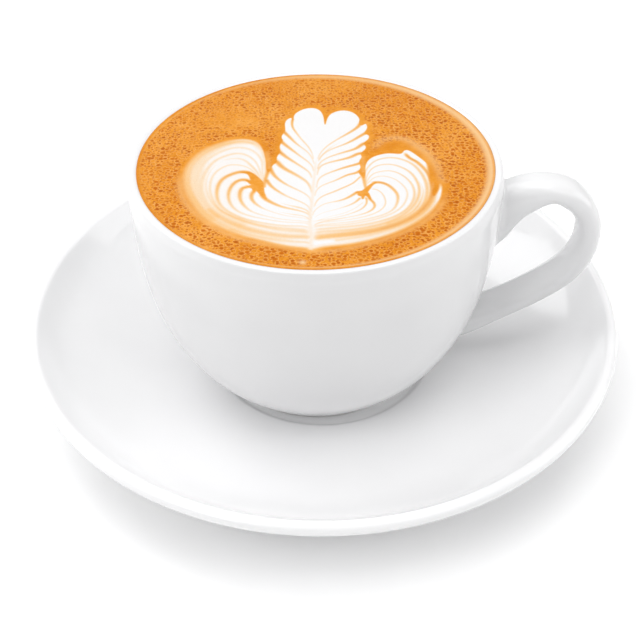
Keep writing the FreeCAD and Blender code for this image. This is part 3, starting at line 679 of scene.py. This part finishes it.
saucer.data.materials.append(glaze("saucer_glaze", 0.0003, (0.885, 0.885, 0.892), (0.908, 0.908, 0.913)))
# the cup's glaze colour is a darker copy of the saucer's: painted shade over the whole cup, the porcelain itself is the
# same
cup.data.materials.append(glaze("cup_glaze", 0.0048, (0.80, 0.80, 0.807), (0.825, 0.825, 0.83)))
def crema(name):
    """Milk foam over crema: colour from the poured pattern, pits and bubbles in the crema."""
    mat = bpy.data.materials.new(name)
    nt, b = nodes_of(mat)
    L = nt.links.new
    co = N(nt, "ShaderNodeTexCoord").outputs["Object"]

    def field(n):
        a = N(nt, "ShaderNodeAttribute", attribute_type="GEOMETRY", attribute_name=n)
        return a.outputs["Fac"]
    m, pits, coarse, drift, film = [field(n) for n in ("milk", "pits", "coarse", "drift", "film")]

    def remap(v, a, b_, c, d):
        n = N(nt, "ShaderNodeMapRange", interpolation_type="SMOOTHSTEP")
        L(v, n.inputs[0])
        for q, val in zip((1, 2, 3, 4), (a, b_, c, d)):
            n.inputs[q].default_value = val
        return n.outputs[0]

    def noise(scale, detail=2.0, rough=0.5):
        n = N(nt, "ShaderNodeTexNoise")
        n.inputs["Scale"].default_value = scale
        n.inputs["Detail"].default_value = detail
        n.inputs["Roughness"].default_value = rough
        L(co, n.inputs["Vector"])
        return n.outputs[0]

    # a little wander, so that bubbles are not perfectly round
    wob = N(nt, "ShaderNodeTexNoise"); wob.inputs["Scale"].default_value = 900.0
    L(co, wob.inputs["Vector"])
    wv = N(nt, "ShaderNodeVectorMath", operation="MULTIPLY_ADD")
    L(wob.outputs["Color"], wv.inputs[0]); wv.inputs[1].default_value = (0.00030, 0.00030, 0); L(co, wv.inputs[2])

    def pores(cell_mm, rmin, rmax, keep):
        """Round dark pits: one in each kept cell, of varied size."""
        s = 1000.0 / cell_mm
        v = N(nt, "ShaderNodeTexVoronoi", voronoi_dimensions="2D", feature="F1")
        v.inputs["Scale"].default_value = s
        v.inputs["Randomness"].default_value = 0.82
        L(wv.outputs[0], v.inputs["Vector"])
        d = v.outputs["Distance"]
        sep = N(nt, "ShaderNodeSeparateColor"); L(v.outputs["Color"], sep.inputs[0])
        size = N(nt, "ShaderNodeMapRange"); L(sep.outputs[0], size.inputs[0])
        size.inputs[3].default_value, size.inputs[4].default_value = rmin, rmax
        k = math_node(nt, "DIVIDE", d, size.outputs[0])
        e = N(nt, "ShaderNodeMapRange", interpolation_type="SMOOTHSTEP"); L(k, e.inputs[0])
        e.inputs[1].default_value, e.inputs[2].default_value, e.inputs[3].default_value, e.inputs[4].default_value = 1.25, 0.50, 0.0, 1.0
        kp = math_node(nt, "LESS_THAN", sep.outputs[1], keep)
        return math_node(nt, "MULTIPLY", e.outputs[0], kp), k, sep.outputs[2]

    keep_big = math_node(nt, "MULTIPLY_ADD", coarse, 0.46)
    keep_big.node.inputs[2].default_value = 0.42
    big, kb, tone = pores(1.50, 0.21, 0.40, keep_big)
    small, ks, tone2 = pores(0.98, 0.19, 0.38, 0.80)
    tiny, kt, tone3 = pores(0.60, 0.18, 0.36, 0.70)
    patch = remap(noise(170, 2), 0.30, 0.55, 0.60, 1.0)
    dens = math_node(nt, "MULTIPLY", pits, patch)
    dark = math_node(nt, "MAXIMUM", big, math_node(nt, "MULTIPLY", small, 0.88))
    dark = math_node(nt, "MAXIMUM", dark, math_node(nt, "MULTIPLY", tiny, 0.40))
    dark = math_node(nt, "MULTIPLY", dark, dens, clamp=True)

    # crema between the pits: its tone drifts over the cup and is mottled finely
    t = math_node(nt, "MULTIPLY_ADD", drift, 0.24)
    t.node.inputs[2].default_value = 0.5
    mot = math_node(nt, "MULTIPLY_ADD", noise(380, 3, 0.6), 1.1)
    mot.node.inputs[2].default_value = -0.55
    mot2 = math_node(nt, "MULTIPLY_ADD", noise(2100, 2, 0.5), 1.2)
    mot2.node.inputs[2].default_value = -0.60
    t = math_node(nt, "ADD", math_node(nt, "ADD", t, mot), math_node(nt, "MULTIPLY", mot2, pits), clamp=True)
    base = ramp(nt, t, [(0.0, CREMA[0]), (0.35, CREMA[1]), (0.65, CREMA[2]), (1.0, CREMA[3])])
    # thin bright walls round the bigger bubbles
    wall = remap(math_node(nt, "ABSOLUTE", math_node(nt, "SUBTRACT", kb, 1.35)), 0.0, 0.30, 1.0, 0.0)
    col = mix(nt, math_node(nt, "MULTIPLY", math_node(nt, "MULTIPLY", wall, dens), 0.45), base, FROTH)
    col = mix(nt, dark, col, ramp(nt, tone, [(0.0, PIT[0]), (1.0, PIT[1])]))
    # painted light and shade at the porcelain: a lighter band inside the wall on the right, a darker line right against
    # it on the left and front
    col = mix(nt, math_node(nt, "MAXIMUM", film, 0.0), col, PAINTED_WALL_LIGHT)
    col = mix(nt, math_node(nt, "MULTIPLY", math_node(nt, "MAXIMUM", math_node(nt, "MULTIPLY", film, -1.0), 0.0), 1.0), col, CREMA[0])

    # milk over it, with the edge broken a little by the froth
    edge = math_node(nt, "MULTIPLY_ADD", noise(1300, 2), 0.10); edge.node.inputs[2].default_value = -0.05
    fr = math_node(nt, "MULTIPLY", math_node(nt, "MULTIPLY", m, math_node(nt, "SUBTRACT", 1.0, m)), 4.0)
    mm_ = math_node(nt, "ADD", m, math_node(nt, "MULTIPLY", edge, fr), clamp=True)
    a1 = N(nt, "ShaderNodeMapRange", interpolation_type="LINEAR"); L(mm_, a1.inputs[0]); a1.inputs[1].default_value, a1.inputs[2].default_value = 0.0, 0.48
    a2 = N(nt, "ShaderNodeMapRange", interpolation_type="LINEAR"); L(mm_, a2.inputs[0]); a2.inputs[1].default_value, a2.inputs[2].default_value = 0.48, 0.72
    a3 = N(nt, "ShaderNodeMapRange", interpolation_type="LINEAR"); L(mm_, a3.inputs[0]); a3.inputs[1].default_value, a3.inputs[2].default_value = 0.72, 0.94
    col = mix(nt, a1.outputs[0], col, MILK[0])
    col = mix(nt, a2.outputs[0], col, MILK[1])
    col = mix(nt, a3.outputs[0], col, MILK[2])
    L(col, b.inputs["Base Color"])

    r = N(nt, "ShaderNodeMapRange"); L(m, r.inputs[0]); r.inputs[3].default_value, r.inputs[4].default_value = 0.30, 0.42
    r2 = math_node(nt, "ADD", r.outputs[0], math_node(nt, "MULTIPLY", dark, 0.12))
    L(r2, b.inputs["Roughness"])
    b.inputs["IOR"].default_value = 1.34
    b.inputs["Specular IOR Level"].default_value = 0.25
    # relief: pits sink, froth stands a little proud
    h = math_node(nt, "MULTIPLY", dark, -1.0)
    h = math_node(nt, "ADD", h, math_node(nt, "MULTIPLY", wall, 0.5))
    h = math_node(nt, "ADD", h, math_node(nt, "MULTIPLY", mot, math_node(nt, "SUBTRACT", 0.5, math_node(nt, "MULTIPLY", m, 0.45))))
    bump = N(nt, "ShaderNodeBump"); bump.inputs["Strength"].default_value = 0.35; bump.inputs["Distance"].default_value = 0.00016
    L(h, bump.inputs["Height"])
    L(bump.outputs[0], b.inputs["Normal"])
    return mat


# linear colours
CREMA = [(0.615, 0.200, 0.007), (0.675, 0.240, 0.013), (0.735, 0.292, 0.028), (0.79, 0.362, 0.076)]
PIT = [(0.42, 0.090, 0.0005), (0.53, 0.134, 0.001)]
FROTH = (0.7896, 0.47, 0.2068)
# pale colour of the painted light in the band inside the wall
PAINTED_WALL_LIGHT = (0.79, 0.52, 0.26)
MILK = [(0.7849, 0.4822, 0.2115), (0.7849, 0.6176, 0.4399), (0.7849, 0.7783, 0.7802)]
cm = crema("crema")
face.data.materials.append(cm)
rest.data.materials.append(cm)
PIECES = [(saucer, "saucer", "porcelain_saucer"), (cup, "cup", "porcelain_cup"), (face, "latte", "crema"), (rest, "latte", "crema")]
WORLD = 0.30
LIGHTS = [(n, loc, (0, 0, 0.03), size, 10 * k) for n, loc, size, k in (
    ("top", (0, 0, 1.2), (1.0, 1.0), 0.74), ("left", (-1.2, 0, 0.5), (0.9, 0.8), 0.27), ("right", (1.2, 0, 0.5), (0.9, 0.8), 0.43),
    ("back", (0, 1.3, 0.5), (1.2, 0.8), 0.05), ("top_left_back", (-0.7, 0.6, 0.9), (0.7, 0.7), 0.38),
    ("top_right_back", (0.7, 0.6, 0.9), (0.7, 0.7), 0.05), ("top_left_front", (-0.7, -0.6, 0.9), (0.7, 0.7), 0.38),
    ("top_right_front", (0.7, -0.6, 0.9), (0.7, 0.7), 0.15))]


# ------------------------------------------------------------------ attach, hide the CAD --
for ob, node, slot in PIECES:
    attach(ob, "root")
    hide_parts(node)

# -------------------------------------------------------------------- stage --
fl = new_object("table_top", [(-3000, -3000, -0.02), (3000, -3000, -0.02), (3000, 3000, -0.02), (-3000, 3000, -0.02)], [np.array([[0, 1, 2, 3]])], smooth=False)
fm = bpy.data.materials.new("table_white")
nt, b = nodes_of(fm)
b.inputs["Base Color"].default_value = (0.98, 0.98, 0.982, 1)
b.inputs["Roughness"].default_value = 0.9
b.inputs["Specular IOR Level"].default_value = 0.1
fl.data.materials.append(fm)

world = bpy.data.worlds.new("studio")
bpy.context.scene.world = world
world.use_nodes = True
wn = world.node_tree
wn.nodes["Background"].inputs[0].default_value = (1, 1, 1, 1)
wn.nodes["Background"].inputs[1].default_value = WORLD


def softbox(name, loc, target, size, power):
    d = bpy.data.lights.new(name, "AREA")
    d.shape = "RECTANGLE"
    d.size, d.size_y = size
    d.energy = power
    o = bpy.data.objects.new(name, d)
    bpy.context.scene.collection.objects.link(o)
    o.location = loc
    o.rotation_euler = (Vector(target) - Vector(loc)).to_track_quat("-Z", "Y").to_euler()
    return o


for args in LIGHTS:
    softbox(*args)

# ------------------------------------------------------------------- camera --
f_px, D, H, pitch, yaw, roll, cx = 1082.29, 235.589, 217.835, 0.70874, 0.004695, -0.007242, -0.3166
fw = Vector((math.sin(yaw) * math.cos(pitch), math.cos(yaw) * math.cos(pitch), -math.sin(pitch)))
rt = Vector((math.cos(yaw), -math.sin(yaw), 0.0))
up = rt.cross(fw)
c, s = math.cos(roll), math.sin(roll)
rt2, up2 = c * rt + s * up, -s * rt + c * up
cam = bpy.data.cameras.new("camera")
cam.sensor_width = 36.0
cam.lens = f_px / 640.0 * 36.0
cam.clip_start, cam.clip_end = 0.01, 20
co = bpy.data.objects.new("camera", cam)
bpy.context.scene.collection.objects.link(co)
m = Matrix((rt2, up2, -fw)).transposed().to_4x4()
m.translation = Vector((cx + CUP_X, -D, H + 0.67)) * MM
co.matrix_world = m
bpy.context.scene.camera = co
vs = bpy.context.scene.view_settings
vs.view_transform = "Standard"
vs.look = "None"
vs.exposure = 0.0
vs.gamma = 1.0
